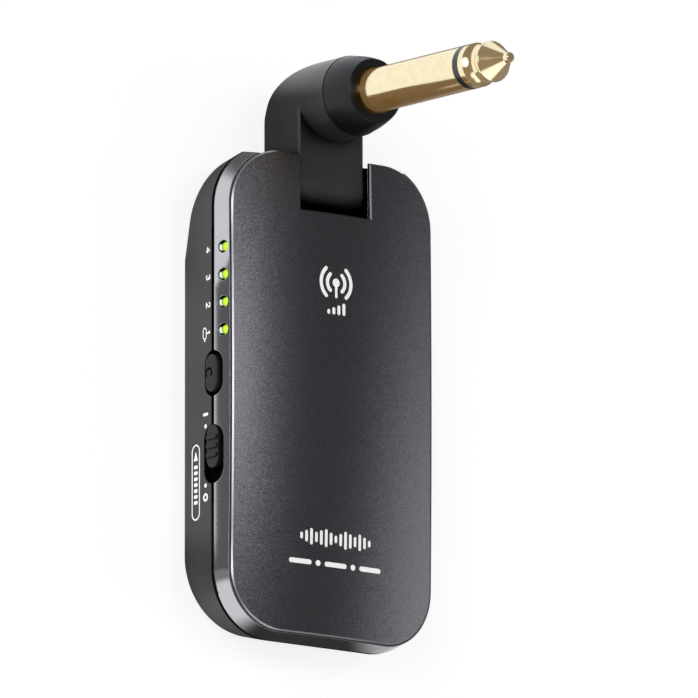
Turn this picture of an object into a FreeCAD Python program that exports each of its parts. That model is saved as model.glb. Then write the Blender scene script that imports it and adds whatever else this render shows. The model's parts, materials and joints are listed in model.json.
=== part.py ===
import FreeCAD, Part
import math
import os

from FreeCAD import Vector

# Wireless guitar transmitter: a flat body with a quarter-inch plug on a hinged arm.
# Millimetres. +Z is the front face's normal, +Y runs up the body to the plug's end, +X is to
# the right of someone facing the front. The origin is the centre of the rear resting face.

# Body
TOP_Y = 35.0            # flat top of the body
PLATE_LENGTH = 69.0
PLATE_HALF_WIDTH = 17.7
PLATE_CORNER = 8.5
PLATE_THICKNESS = 0.6
PLATE_PROUD = 0.3       # how far the plate stands above the band's rim
PLATE_GROOVE = 0.08     # shadow gap round the front plate
BAND_TOP = 0.22         # how far the band stands outside the plate at the front
BAND_FLARE = 0.88       # and at the parting line
BAND_TOP_LEAN = 11.0    # degrees that the band's top end leans back
FRONT_Z = 13.0          # top of the crowned front
CROWN_X_RADIUS = 165.0
CROWN_Y_RADIUS = 1320.0
PARTING_Z = 8.4
PARTING_GAP = 0.28
BAND_EDGE_RADIUS = 0.4   # rounding of the band along the parting line
REAR_DRAFT_SIDE = 0.7
REAR_DRAFT_END = 2.0
REAR_CORNER = 11.0
REAR_EDGE_RADIUS = 1.85
WEDGE_EDGE_RADIUS = 1.6
WEDGE_Y = 19.2          # where the rear face starts to slope towards the top
WEDGE_RISE = 3.7
CAVITY_HALF_WIDTH = 16.8
CAVITY_LOW_Y = -31.4
CAVITY_HIGH_Y = 33.5
CAVITY_CORNER = 11.0
DECK_Z = 10.2           # inside face of the front wall
FLOOR = 1.4             # rear wall thickness

# Hinge and arm
SLOT_LEFT = -6.0
SLOT_RIGHT = 6.4
SLOT_DEPTH = 8.04
SLOT_WALL = 1.35
HINGE_Y = 31.5
HINGE_Z = 7.625
ARM_HALF_WIDTH = 5.8
KNUCKLE_RADIUS = 4.175
ELBOW_RADIUS = 10.3
AXLE_RADIUS = 1.4
AXLE_BORE = 0.85
AXLE_HALF_LENGTH = 9.2
BUSH_RADIUS = 2.0
BUSH_FLANGE_RADIUS = 2.4
WIRE_RADIUS = 0.32
CHANNEL_END = (0, 40.4, 11.6)  # top of the wiring channel in the arm
RUNNING_GAP = 0.05
FIT_GAP = 0.02          # between parts that are pressed or glued together

# Plug
PLUG_Y = TOP_Y + 8.2
PLUG_RADIUS = 3.175
SEAM_Z = 17.2           # elbow ends and the screwed cap begins
CAP_END_Z = 22.15
SHOULDER_RADIUS = 3.45  # sleeve contact where the cap holds it
RING_Z = 43.8           # insulating ring
TIP_Z = 45.0
NECK_RADIUS = 4.85

# Controls on the left side
LAMP_Z = 10.4
LAMP_RADIUS = 0.72      # domed lens, set back in its hole
LAMP_HOLE_RADIUS = 0.92
LAMP_FIRST_Y = 20.45
LAMP_PITCH = 3.97
BUTTON_Y = 2.5
SLIDER_Y = -9.1
SLIDER_TRAVEL = 2.2
CONTROL_FACE_X = -18.88
POCKET_X = -17.7        # floor of both side pockets
CONTROL_WIDTH = 2.6

# Inside
BOARD_Z = 6.4
BOARD_TOP = 7.4
SCREWS = [(-12.6, -25.5), (12.6, -25.5), (-13.2, 26.0), (13.2, 26.0)]
SCREW_RADIUS = 0.83
PORT_Y = -6.0


def box(x0, x1, y0, y1, z0, z1):
    return Part.makeBox(x1 - x0, y1 - y0, z1 - z0, Vector(x0, y0, z0))


def rod(radius, start, end):
    start, end = Vector(*start), Vector(*end)
    return Part.makeCylinder(radius, (end - start).Length, start, end - start)


def tube(outer, inner, start, end):
    return rod(outer, start, end).cut(rod(inner, start, end))


def outline(half_width, low_y, high_y, radius, z):
    """Rounded rectangle, as a closed wire."""
    edges = []
    corners = [(1, high_y, 0), (-1, high_y, 90), (-1, low_y, 180), (1, low_y, 270)]
    arcs = []
    for side, y, start in corners:
        inward = -1 if y == high_y else 1
        centre = Vector(side * (half_width - radius), y + inward * radius, z)
        arc = Part.makeCircle(radius, centre, Vector(0, 0, 1), start, start + 90)
        arcs.append(arc)
    for arc, following in zip(arcs, arcs[1:] + arcs[:1]):
        edges.append(arc)
        edges.append(Part.makeLine(arc.lastVertex().Point, following.firstVertex().Point))
    return Part.Wire(edges)


def body_outline(offset, z):
    """Plate outline grown all round by an offset."""
    low = TOP_Y - PLATE_LENGTH - offset
    return outline(PLATE_HALF_WIDTH + offset, low, TOP_Y + offset, PLATE_CORNER + offset, z)


def extrude(wire, height):
    return Part.Face(wire).extrude(Vector(0, 0, height))


def rounded_block(half_width, low_y, high_y, radius, z0, z1):
    return extrude(outline(half_width, low_y, high_y, radius, z0), z1 - z0)


def stadium(y, z, length, width, x0, x1):
    """Oval plug lying along Y, running in X."""
    radius = width / 2
    reach = length / 2 - radius
    shape = box(x0, x1, y - reach, y + reach, z - radius, z + radius)
    for end in (-reach, reach):
        shape = shape.fuse(rod(radius, (x0, y + end, z), (x1, y + end, z)))
    return shape.removeSplitter()


def wire_run(points, radius):
    """Round cable through a list of points, with ball corners."""
    shape = None
    for start, end in zip(points, points[1:]):
        piece = rod(radius, start, end)
        shape = piece if shape is None else shape.fuse(piece)
    for point in points[1:-1]:
        shape = shape.fuse(Part.makeSphere(radius, Vector(*point)))
    return shape


def below_crown(top_z):
    """Everything below the doubly crowned front surface."""
    reach = 24.0
    drop = CROWN_X_RADIUS - math.sqrt(CROWN_X_RADIUS ** 2 - reach ** 2)
    left = Vector(-reach, 0, top_z - drop)
    right = Vector(reach, 0, top_z - drop)
    arc = Part.Arc(left, Vector(0, 0, top_z), right).toShape()
    low_left = Vector(-reach, 0, 5.0)
    low_right = Vector(reach, 0, 5.0)
    sides = [Part.makeLine(right, low_right), Part.makeLine(low_right, low_left),
             Part.makeLine(low_left, left)]
    face = Part.Face(Part.Wire([arc] + sides))
    middle_y = TOP_Y - PLATE_LENGTH / 2
    half_angle = 2.0
    pivot = Vector(0, middle_y, top_z - CROWN_Y_RADIUS)
    face.translate(Vector(0, middle_y, 0))
    face.rotate(pivot, Vector(1, 0, 0), -half_angle)
    return face.revolve(pivot, Vector(1, 0, 0), 2 * half_angle)


def beyond_wedge(depth):
    """Rear corner that the sloping back leaves away, with its face moved inwards by depth."""
    slope = math.degrees(math.atan2(WEDGE_RISE, TOP_Y - WEDGE_Y))
    shape = box(-30, 30, -30, 40, -20, depth)
    shape.translate(Vector(0, WEDGE_Y, 0))
    shape.rotate(Vector(0, WEDGE_Y, 0), Vector(1, 0, 0), slope)
    return shape


def arm_slot():
    low = TOP_Y - SLOT_DEPTH
    return box(SLOT_LEFT, SLOT_RIGHT, low, TOP_Y + 5, -5, FRONT_Z + 5)


def cavity(z0, z1):
    """Hollow shared by both shells, leaving a wall round the arm's slot."""
    shape = rounded_block(CAVITY_HALF_WIDTH, CAVITY_LOW_Y, CAVITY_HIGH_Y, CAVITY_CORNER, z0, z1)
    return shape.cut(box(SLOT_LEFT - SLOT_WALL, SLOT_RIGHT + SLOT_WALL,
                         TOP_Y - SLOT_DEPTH - SLOT_WALL, TOP_Y, z0, z1))


def side_openings():
    """Everything cut through the body's sides, half in each shell."""
    shapes = [stadium(BUTTON_Y, PARTING_Z, 6.6, 3.95, -20, POCKET_X)]
    shapes.append(stadium(BUTTON_Y, PARTING_Z, 5.5, CONTROL_WIDTH + 0.1, -20, -16))
    shapes.append(stadium(SLIDER_Y, PARTING_Z, 8.5, 4.3, -20, POCKET_X))
    shapes.append(stadium(SLIDER_Y, PARTING_Z, 5.2, 1.9, -20, -16))
    shapes.append(stadium(PORT_Y, PARTING_Z, 9.2, 3.4, 15, 20))
    shapes.append(stadium(PORT_Y, PARTING_Z, 10.4, 4.6, 17.9, 20))
    shapes.append(rod(BUSH_RADIUS + FIT_GAP, (-12, HINGE_Y, HINGE_Z), (12, HINGE_Y, HINGE_Z)))
    for wall_x, end_x in ((SLOT_LEFT - SLOT_WALL, -10), (SLOT_RIGHT + SLOT_WALL, 10)):
        room = rod(BUSH_FLANGE_RADIUS + 0.1, (wall_x, HINGE_Y, HINGE_Z), (end_x, HINGE_Y, HINGE_Z))
        shapes.append(room)
    return shapes


def front_plate():
    shape = extrude(body_outline(0, 9.0), 6.0).common(below_crown(FRONT_Z))
    shape = shape.cut(below_crown(FRONT_Z - PLATE_THICKNESS)).cut(arm_slot())
    return shape.makeChamfer(0.22, [e for e in shape.Edges if on_crown(e)])


def on_crown(edge):
    """True for an edge that lies in the plate's front surface."""
    low, high = edge.ParameterRange
    for step in (0.0, 0.5, 1.0):
        point = edge.valueAt(low + step * (high - low))
        along = point.y - (TOP_Y - PLATE_LENGTH / 2)
        surface = FRONT_Z - point.x ** 2 / (2 * CROWN_X_RADIUS) - along ** 2 / (2 * CROWN_Y_RADIUS)
        if abs(point.z - surface) > 0.05:
            return False
    return True


def bezel_frame():
    high_z = 13.5
    lean = (BAND_FLARE - BAND_TOP) / (FRONT_Z - 0.95 - PARTING_Z)
    high_offset = BAND_FLARE - lean * (high_z - PARTING_Z)
    shape = Part.makeLoft([body_outline(BAND_FLARE, PARTING_Z), body_outline(high_offset, high_z)],
                          True, True)
    low_edges = [e for e in shape.Edges if e.BoundBox.ZMax < PARTING_Z + 0.01]
    shape = shape.makeFillet(BAND_EDGE_RADIUS, low_edges)
    shape = shape.common(below_crown(FRONT_Z - PLATE_PROUD))
    beyond_top = box(-30, 30, TOP_Y, TOP_Y + 5, PARTING_Z - 5, FRONT_Z + 5)
    beyond_top.rotate(Vector(0, TOP_Y, PARTING_Z), Vector(1, 0, 0), BAND_TOP_LEAN)
    shape = shape.cut(beyond_top)
    seat = extrude(body_outline(PLATE_GROOVE, 9.0), 6.0)
    shape = shape.cut(seat.cut(below_crown(FRONT_Z - PLATE_THICKNESS - FIT_GAP)))
    shape = shape.cut(cavity(PARTING_Z - 1, DECK_Z)).cut(arm_slot())
    shape = shape.cut(side_openings() + lamp_holes())
    for x, y in SCREWS:
        post = rod(2.1, (x, y, PARTING_Z), (x, y, DECK_Z + 0.2))
        shape = shape.fuse(post).cut(rod(SCREW_RADIUS + FIT_GAP, (x, y, 8), (x, y, DECK_Z)))
    return shape.removeSplitter()


def lamp_positions():
    return [LAMP_FIRST_Y - LAMP_PITCH * i for i in range(4)]


def lamp_holes():
    """Four round holes in the band, and the pocket behind them for the light guides."""
    ys = lamp_positions()
    shapes = [rod(LAMP_HOLE_RADIUS, (-19, y, LAMP_Z), (-16, y, LAMP_Z)) for y in ys]
    shapes.append(box(-CAVITY_HALF_WIDTH, -14.2, ys[-1] - 1.4, ys[0] + 1.4, 9, 11.25))
    return shapes


def rear_shell():
    low = TOP_Y - PLATE_LENGTH - BAND_FLARE
    half = PLATE_HALF_WIDTH + BAND_FLARE
    radius = PLATE_CORNER + BAND_FLARE
    upper = outline(half, low, TOP_Y + BAND_FLARE, radius, PARTING_Z)
    lower = outline(half - REAR_DRAFT_SIDE, low + REAR_DRAFT_END,
                    TOP_Y + BAND_FLARE - REAR_DRAFT_SIDE, REAR_CORNER, 0)
    shape = Part.makeLoft([lower, upper], True, True)
    shape = shape.makeFillet(REAR_EDGE_RADIUS, [e for e in shape.Edges if e.BoundBox.ZMax < 0.01])
    shape = shape.cut(beyond_wedge(0)).cut(box(-30, 30, TOP_Y, TOP_Y + 5, -5, 20))
    shape = shape.makeFillet(WEDGE_EDGE_RADIUS, [e for e in shape.Edges if is_wedge_rim(e)])
    hollow = cavity(FLOOR, PARTING_Z + 1).cut(beyond_wedge(FLOOR))
    for x in (-1, 1):
        hollow = hollow.cut(box(13.3 * x - 2.3, 13.3 * x + 2.3, -17, 9, 0, 3.0))
    shape = shape.cut(hollow).cut(arm_slot())
    rim = extrude(body_outline(BAND_FLARE + 2, PARTING_Z - PARTING_GAP), 1.0)
    rim = rim.cut(extrude(body_outline(BAND_FLARE - 0.5, PARTING_Z - 1), 3.0))
    shape = shape.cut([rim.common(box(-30, 30, -50, TOP_Y - 0.6, 0, 20))] + side_openings())
    for x, y in SCREWS:
        post = rod(2.3, (x, y, 1.0), (x, y, PARTING_Z)).cut(beyond_wedge(0.3))
        shape = shape.fuse(post)
        shape = shape.cut([rod(1.0, (x, y, -1), (x, y, 9)), rod(1.9, (x, y, -1), (x, y, 3.9))])
    return shape.cut(dock_keyholes()).removeSplitter()


def is_wedge_rim(edge):
    """True for the outer edges of the sloping back, but not for its fold or its top end."""
    low, high = edge.ParameterRange
    slope = WEDGE_RISE / (TOP_Y - WEDGE_Y)
    points = [edge.valueAt(low + step * (high - low)) for step in (0.0, 0.5, 1.0)]
    on_slope = all(abs(p.z - (p.y - WEDGE_Y) * slope) < 0.01 for p in points)
    fold = all(abs(p.y - WEDGE_Y) < 0.02 for p in points)
    top = all(abs(p.y - TOP_Y) < 0.01 for p in points)
    return on_slope and not fold and not top


def dock_keyholes():
    """Two undercut slots in the rear that a matching unit slides into."""
    shapes = []
    for x in (-13.3, 13.3):
        shapes.append(box(x - 1.8, x + 1.8, -15, -8, -1, 2.0))
        shapes.append(box(x - 1.0, x + 1.0, -8, 6.5, -1, 2.0))
        shapes.append(box(x - 1.8, x + 1.8, -8, 6.5, 0.9, 2.0))
    return shapes


def shell_screws():
    screws = []
    for x, y in SCREWS:
        shank = rod(SCREW_RADIUS, (x, y, 3.8), (x, y, DECK_Z - 0.3))
        head = rod(1.6, (x, y, 2.8), (x, y, 3.88))
        cross = [box(x - 0.9, x + 0.9, y - 0.18, y + 0.18, 2, 3.4),
                 box(x - 0.18, x + 0.18, y - 0.9, y + 0.9, 2, 3.4)]
        screws.append(shank.fuse(head).cut(cross).removeSplitter())
    return screws


def arm():
    """Hinge knuckle, flat-sided arm and round elbow, hollow for the wiring."""
    rear_z = HINGE_Z - KNUCKLE_RADIUS
    front_z = HINGE_Z + KNUCKLE_RADIUS
    top_y = PLUG_Y + ARM_HALF_WIDTH
    corner = ELBOW_RADIUS

    def at(y, z):
        return Vector(-ARM_HALF_WIDTH, y, z)

    diagonal = corner / math.sqrt(2)
    bend = Part.Arc(at(top_y - corner, rear_z),
                    at(top_y - corner + diagonal, rear_z + corner - diagonal),
                    at(top_y, rear_z + corner)).toShape()
    knuckle = Part.Arc(at(HINGE_Y, front_z), at(HINGE_Y - KNUCKLE_RADIUS, HINGE_Z),
                       at(HINGE_Y, rear_z)).toShape()
    shoulder_z = rear_z + corner + 1.0
    corners = [at(top_y, rear_z + corner), at(top_y, shoulder_z), at(PLUG_Y, shoulder_z),
               at(PLUG_Y, front_z), at(HINGE_Y, front_z)]
    profile = [bend, knuckle, Part.makeLine(at(HINGE_Y, rear_z), at(top_y - corner, rear_z))]
    profile += [Part.makeLine(a, b) for a, b in zip(corners, corners[1:])]
    profile = Part.__sortEdges__(profile)
    shape = Part.Face(Part.Wire(profile)).extrude(Vector(2 * ARM_HALF_WIDTH, 0, 0))
    keep = rod(ARM_HALF_WIDTH, (0, PLUG_Y, -5), (0, PLUG_Y, 30))
    stalk = extrude(outline(ARM_HALF_WIDTH, rear_z, front_z, 0.4, 0), PLUG_Y - 20)
    stalk.rotate(Vector(0, 0, 0), Vector(1, 0, 0), 90)
    stalk.translate(Vector(0, PLUG_Y, 0))
    shape = shape.common(keep.fuse(stalk))
    shape = shape.fuse(rod(ARM_HALF_WIDTH, (0, PLUG_Y, front_z - 1), (0, PLUG_Y, SEAM_Z)))
    shape = shape.fuse(rod(NECK_RADIUS, (0, PLUG_Y, SEAM_Z - 1), (0, PLUG_Y, 20.0)))
    shape = shape.cut(rod(4.25, (0, PLUG_Y, 9.8), (0, PLUG_Y, 21)))
    shape = shape.cut(rod(AXLE_RADIUS + FIT_GAP, (-9, HINGE_Y, HINGE_Z), (9, HINGE_Y, HINGE_Z)))
    shape = shape.cut(rod(1.2, (0, HINGE_Y, HINGE_Z), CHANNEL_END))
    return shape.removeSplitter()


def screwed_cap():
    """Cap over the plug's flange, turned from a profile that narrows towards the plug."""
    def at(radius, z):
        return Vector(radius, PLUG_Y, z)

    start, end = at(5.74, SEAM_Z + 0.1), at(4.65, CAP_END_Z - 0.15)
    side = Part.Arc(start, at(5.36, 19.5), end).toShape()
    points = [at(4.5, CAP_END_Z), at(SHOULDER_RADIUS + FIT_GAP, CAP_END_Z),
              at(SHOULDER_RADIUS + FIT_GAP, 20.1), at(NECK_RADIUS + FIT_GAP, 20.1),
              at(NECK_RADIUS + FIT_GAP, SEAM_Z + FIT_GAP), at(5.68, SEAM_Z + FIT_GAP), start]
    edges = [side, Part.makeLine(end, points[0])]
    edges += [Part.makeLine(a, b) for a, b in zip(points, points[1:])]
    face = Part.Face(Part.Wire(edges))
    return face.revolve(Vector(0, PLUG_Y, 0), Vector(0, 0, 1), 360)


def turned(profile):
    """Solid of revolution about the plug's axis from (radius, z) points."""
    points = [Vector(radius, PLUG_Y, z) for radius, z in profile]
    face = Part.Face(Part.makePolygon(points + points[:1]))
    return face.revolve(Vector(0, PLUG_Y, 0), Vector(0, 0, 1), 360)


def plug_sleeve():
    shoulder_end = CAP_END_Z + 0.05
    return turned([(1.9, 18.6), (4.2, 18.6), (4.2, 20.05), (SHOULDER_RADIUS, 20.05),
                   (SHOULDER_RADIUS, shoulder_end), (PLUG_RADIUS, shoulder_end),
                   (PLUG_RADIUS, RING_Z), (1.9, RING_Z)])


def plug_insulator():
    return turned([(1.22, 17.4), (1.88, 17.4), (1.88, RING_Z + FIT_GAP),
                   (PLUG_RADIUS, RING_Z + FIT_GAP), (PLUG_RADIUS, TIP_Z), (1.22, TIP_Z)])


def plug_tip():
    """Tip contact: shoulder, waist, ball, cone and nub, on the rod that runs back to the wiring."""
    def at(radius, z):
        return Vector(radius, PLUG_Y, z)

    waist = Part.Arc(at(PLUG_RADIUS, 46.1), at(2.38, 46.95), at(2.12, 47.6)).toShape()
    ball = Part.Arc(at(2.12, 47.6), at(2.55, 48.15), at(2.95, 48.9)).toShape()
    crest = Part.Arc(at(2.95, 48.9), at(2.97, 49.15), at(2.84, 49.4)).toShape()
    front = [at(2.84, 49.4), at(0.78, 52.45), at(0.7, 53.15), at(0.5, 53.3), at(0, 53.3)]
    back = [at(0, 53.3), at(0, 15.6), at(1.2, 15.6), at(1.2, TIP_Z + FIT_GAP),
            at(PLUG_RADIUS, TIP_Z + FIT_GAP), at(PLUG_RADIUS, 46.1)]
    edges = [waist, ball, crest]
    for points in (front, back):
        edges += [Part.makeLine(a, b) for a, b in zip(points, points[1:])]
    face = Part.Face(Part.Wire(Part.__sortEdges__(edges)))
    return face.revolve(Vector(0, PLUG_Y, 0), Vector(0, 0, 1), 360)


def solder_lug(inner, outer, z, thickness, tail_x):
    """Ring terminal with a tail that points down the arm."""
    ring = tube(outer, inner, (0, PLUG_Y, z), (0, PLUG_Y, z + thickness))
    tail = box(tail_x - 0.6, tail_x + 0.6, PLUG_Y - 3.7, PLUG_Y - inner - 0.3, z, z + thickness)
    return ring.fuse(tail).removeSplitter()


def hinge_axle():
    end = AXLE_HALF_LENGTH
    shape = tube(AXLE_RADIUS, AXLE_BORE, (-end, HINGE_Y, HINGE_Z), (end, HINGE_Y, HINGE_Z))
    window = rod(0.95, (0, HINGE_Y, HINGE_Z), CHANNEL_END)
    shape = shape.cut(window)
    for side in (-1, 1):
        groove = tube(2.5, 1.15, (8.3 * side, HINGE_Y, HINGE_Z), (8.75 * side, HINGE_Y, HINGE_Z))
        shape = shape.cut(groove)
    return shape


def hinge_bushes():
    """Flanged bearing sleeves held in the slot's walls."""
    bushes = []
    inner = AXLE_RADIUS + RUNNING_GAP
    for slot_x, side in ((SLOT_LEFT, -1), (SLOT_RIGHT, 1)):
        start = slot_x + 0.05 * side
        flange_start = slot_x + (SLOT_WALL + FIT_GAP) * side
        end = slot_x + (SLOT_WALL + 0.45) * side
        sleeve = tube(BUSH_RADIUS, inner, (start, HINGE_Y, HINGE_Z), (end, HINGE_Y, HINGE_Z))
        flange = tube(BUSH_FLANGE_RADIUS, inner, (flange_start, HINGE_Y, HINGE_Z),
                      (end, HINGE_Y, HINGE_Z))
        bushes.append(sleeve.fuse(flange).removeSplitter())
    return bushes


def axle_clips():
    clips = []
    for side in (-1, 1):
        ring = tube(2.2, 1.18, (8.33 * side, HINGE_Y, HINGE_Z), (8.72 * side, HINGE_Y, HINGE_Z))
        mouth = box(-10, 10, HINGE_Y - 0.75, HINGE_Y + 0.75, HINGE_Z - 3, HINGE_Z)
        clips.append(ring.cut(mouth))
    return clips


def friction_washers():
    inner = AXLE_RADIUS + RUNNING_GAP
    return [tube(3.0, inner, (start, HINGE_Y, HINGE_Z), (end, HINGE_Y, HINGE_Z))
            for start, end in ((SLOT_LEFT + 0.05, -ARM_HALF_WIDTH - 0.04),
                               (ARM_HALF_WIDTH + 0.04, SLOT_RIGHT - 0.05))]


def arm_wires():
    """Signal and ground wires, from the lugs down the arm and out of the hollow axle."""
    wires = []
    for x, offset, lug_x, lug_z in ((-0.45, -0.42, -0.9, 16.6), (0.45, 0.42, 0.9, 18.2)):
        lug_y = PLUG_Y - 3.2
        points = [(9.0, HINGE_Y + offset, HINGE_Z), (x, HINGE_Y + offset, HINGE_Z),
                  (x, CHANNEL_END[1] + offset, CHANNEL_END[2]), (lug_x, lug_y, 13.0),
                  (lug_x, lug_y, lug_z - FIT_GAP)]
        wires.append(wire_run(points, WIRE_RADIUS))
    return wires


def body_wires():
    """The same two wires from the axle's open end to the board."""
    wires = []
    for offset in (-0.42, 0.42):
        y = HINGE_Y + offset
        x = 10.1 + offset
        points = [(9.3, y, HINGE_Z), (x, y, HINGE_Z), (x, 23.4 + offset, 8.6),
                  (x, 22.2 + offset, BOARD_TOP + 0.35)]
        wires.append(wire_run(points, WIRE_RADIUS))
    return wires


def light_guides():
    """Domed lamp lenses; each runs through the band and turns down to its lamp."""
    guides = []
    bend_x = -15.2
    for y in lamp_positions():
        dome = Part.makeSphere(LAMP_RADIUS, Vector(-17.55, y, LAMP_Z))
        stem = rod(LAMP_RADIUS, (-17.55, y, LAMP_Z), (bend_x, y, LAMP_Z))
        collar = rod(LAMP_HOLE_RADIUS - 0.04, (-17.25, y, LAMP_Z), (-16.85, y, LAMP_Z))
        elbow = Part.makeSphere(LAMP_RADIUS, Vector(bend_x, y, LAMP_Z))
        leg = rod(LAMP_RADIUS, (bend_x, y, LAMP_Z), (bend_x, y, 8.15))
        guides.append(dome.fuse([stem, collar, elbow, leg]).removeSplitter())
    return guides


def lamps():
    return [box(-15.9, -14.5, y - 0.5, y + 0.5, BOARD_TOP, 8.05) for y in lamp_positions()]


def pairing_button():
    cap = stadium(BUTTON_Y, PARTING_Z, 5.4, CONTROL_WIDTH, CONTROL_FACE_X, -16.4)
    cap = cap.makeFillet(0.25, [e for e in cap.Edges if e.CenterOfMass.x < CONTROL_FACE_X + 0.01])
    flange = stadium(BUTTON_Y, PARTING_Z, 6.4, 3.4, -16.75, -16.25)
    cap = cap.fuse(flange).removeSplitter()
    middle_z = PARTING_Z - 0.45
    arch = tube(0.85, 0.5, (-20, BUTTON_Y, middle_z), (CONTROL_FACE_X + 0.3, BUTTON_Y, middle_z))
    cap = cap.cut(arch.cut(box(-20, -18, BUTTON_Y - 1, BUTTON_Y - 0.45, middle_z - 1, middle_z + 1)))
    return cap


def tact_switch():
    shape = box(-15.5, -13.2, BUTTON_Y - 2.3, BUTTON_Y + 2.3, BOARD_TOP, 9.4)
    return shape.cut(box(-16, -14.3, BUTTON_Y - 0.8, BUTTON_Y + 0.8, 7.85, 8.95))


def tact_plunger():
    return box(-16.23, -14.8, BUTTON_Y - 0.75, BUTTON_Y + 0.75, 7.9, 8.9)


def power_slider():
    middle = SLIDER_Y + SLIDER_TRAVEL / 2
    knob = stadium(middle, PARTING_Z, 6.1, CONTROL_WIDTH, CONTROL_FACE_X + 0.3, POCKET_X - 0.05)
    for i in (-1, 0, 1):
        y = middle + 1.28 * i
        knob = knob.fuse(box(CONTROL_FACE_X, -18.4, y - 0.26, y + 0.26, PARTING_Z - 1.1, PARTING_Z + 1.1))
    stem = box(-18, -16.3, middle - 1.1, middle + 1.1, PARTING_Z - 0.8, PARTING_Z + 0.8)
    notch = box(-17.0, -16.0, middle - 0.55, middle + 0.55, PARTING_Z - 0.55, PARTING_Z + 0.55)
    return knob.fuse(stem).cut(notch).removeSplitter()


def slide_switch():
    shape = box(-15.8, -12.8, SLIDER_Y - 4.2, SLIDER_Y + 4.2, BOARD_TOP, 9.6)
    return shape.cut(box(-17, -14.2, SLIDER_Y - 1.75, SLIDER_Y + 1.75, 7.8, 9.0))


def switch_lever():
    middle = SLIDER_Y + SLIDER_TRAVEL / 2
    stalk = box(-16.95, -14.9, middle - 0.5, middle + 0.5, 7.9, 8.9)
    return stalk.fuse(box(-15.4, -14.4, middle - 0.6, middle + 0.6, 7.85, 8.95)).removeSplitter()


def main_board():
    shape = rounded_block(15.6, -31.0, 24.4, 2.0, BOARD_Z, BOARD_TOP)
    shape = shape.common(rounded_block(16.2, -30.8, 34.0, 10.5, BOARD_Z, BOARD_TOP))
    cuts = [rod(2.6, (x, y, 5), (x, y, 9)) for x, y in SCREWS]
    cuts.append(box(10.6, 16, PORT_Y - 4.8, PORT_Y + 4.8, 5, 9))
    return shape.cut(cuts).removeSplitter()


def port_shell():
    """Steel sleeve of the charging port, closed at the back."""
    shape = stadium(PORT_Y, PARTING_Z, 8.95, 3.2, 10.9, 17.8)
    shape = shape.cut(stadium(PORT_Y, PARTING_Z, 8.35, 2.6, 11.6, 19))
    feet = []
    for side in (-1, 1):
        y = PORT_Y + side * 4.3
        outer = PORT_Y + side * 6.0
        feet.append(box(12, 13, min(y, outer), max(y, outer), BOARD_TOP + FIT_GAP, 7.8))
        feet.append(box(15, 15.6, min(y, outer), max(y, outer), BOARD_TOP + FIT_GAP, 7.8))
    return shape.fuse(feet).removeSplitter()


def port_tongue():
    block = stadium(PORT_Y, PARTING_Z, 8.3, 2.55, 11.65, 12.9)
    tongue = box(12.5, 17.2, PORT_Y - 3.35, PORT_Y + 3.35, PARTING_Z - 0.35, PARTING_Z + 0.35)
    return block.fuse(tongue).removeSplitter()


def battery():
    shape = rounded_block(11.0, -24.0, 13.0, 1.5, 1.75, 5.4)
    return shape.makeFillet(0.8, [e for e in shape.Edges if e.BoundBox.ZLength < 0.01])


def battery_connector():
    return box(-3.0, 3.0, 15.0, 18.4, 4.2, BOARD_Z - FIT_GAP)


def battery_leads():
    return [wire_run([(x, 13.05, 4.4), (x, 13.6, 4.4), (x, 14.3, 5.3), (x, 14.96, 5.3)], 0.4)
            for x in (-1.1, 1.1)]


def shield_can():
    shape = box(-2, 11, 5.5, 17.5, BOARD_TOP + FIT_GAP, 9.3)
    return shape.cut(box(-1.8, 10.8, 5.7, 17.3, 7, 9.1))


def chip(x, y, half_x, half_y, height):
    return box(x - half_x, x + half_x, y - half_y, y + half_y, BOARD_TOP + FIT_GAP, BOARD_TOP + height)


def antenna():
    """Bent strip antenna standing on the end of the board, away from the plug."""
    top = box(-7, 9, -30.2, -28.6, 9.5, 9.7)
    legs = [box(-7, -6.8, -30.2, -28.6, BOARD_TOP + FIT_GAP, 9.7),
            box(-3.4, -3.2, -30.2, -28.6, BOARD_TOP + FIT_GAP, 9.7)]
    return top.fuse(legs).removeSplitter()


def passives():
    parts = [chip(x, -11.0, 0.8, 0.4, 0.8) for x in (-6, -3, 0, 3)]
    parts += [chip(x, 20.5, 0.5, 0.25, 0.5) for x in (-9, -6, -3, 0, 3)]
    parts += [chip(9.0, y, 1.1, 1.1, 1.0) for y in (-14, -18)]
    return parts


NODES = {
    "front_plate": front_plate,
    "bezel_frame": bezel_frame,
    "rear_shell": rear_shell,
    "shell_screws": shell_screws,
    "plug_arm": arm,
    "plug_cap": screwed_cap,
    "plug_sleeve": plug_sleeve,
    "plug_insulator": plug_insulator,
    "plug_tip": plug_tip,
    "tip_lug": lambda: solder_lug(1.22, 2.3, 16.6, 0.4, -0.9),
    "sleeve_lug": lambda: solder_lug(2.0, 3.6, 18.2, 0.38, 0.9),
    "hinge_axle": hinge_axle,
    "hinge_bushes": hinge_bushes,
    "axle_clips": axle_clips,
    "friction_washers": friction_washers,
    "arm_wires": arm_wires,
    "body_wires": body_wires,
    "light_guides": light_guides,
    "lamps": lamps,
    "pairing_button": pairing_button,
    "tact_switch": tact_switch,
    "tact_plunger": tact_plunger,
    "power_slider": power_slider,
    "slide_switch": slide_switch,
    "switch_lever": switch_lever,
    "main_board": main_board,
    "port_shell": port_shell,
    "port_tongue": port_tongue,
    "battery": battery,
    "battery_pad": lambda: box(-9, 9, -21, 11, FLOOR + FIT_GAP, 1.75 - FIT_GAP),
    "battery_connector": battery_connector,
    "battery_leads": battery_leads,
    "shield_can": shield_can,
    "radio_chip": lambda: chip(4.5, 11.5, 3.0, 3.0, 0.9),
    "crystal": lambda: chip(-0.2, 11.5, 1.0, 1.25, 0.8),
    "audio_chip": lambda: chip(-6.5, 9.0, 2.5, 2.5, 0.9),
    "charge_chip": lambda: chip(4.0, -6.0, 1.5, 1.5, 0.8),
    "passives": passives,
    "antenna": antenna,
}


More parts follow.
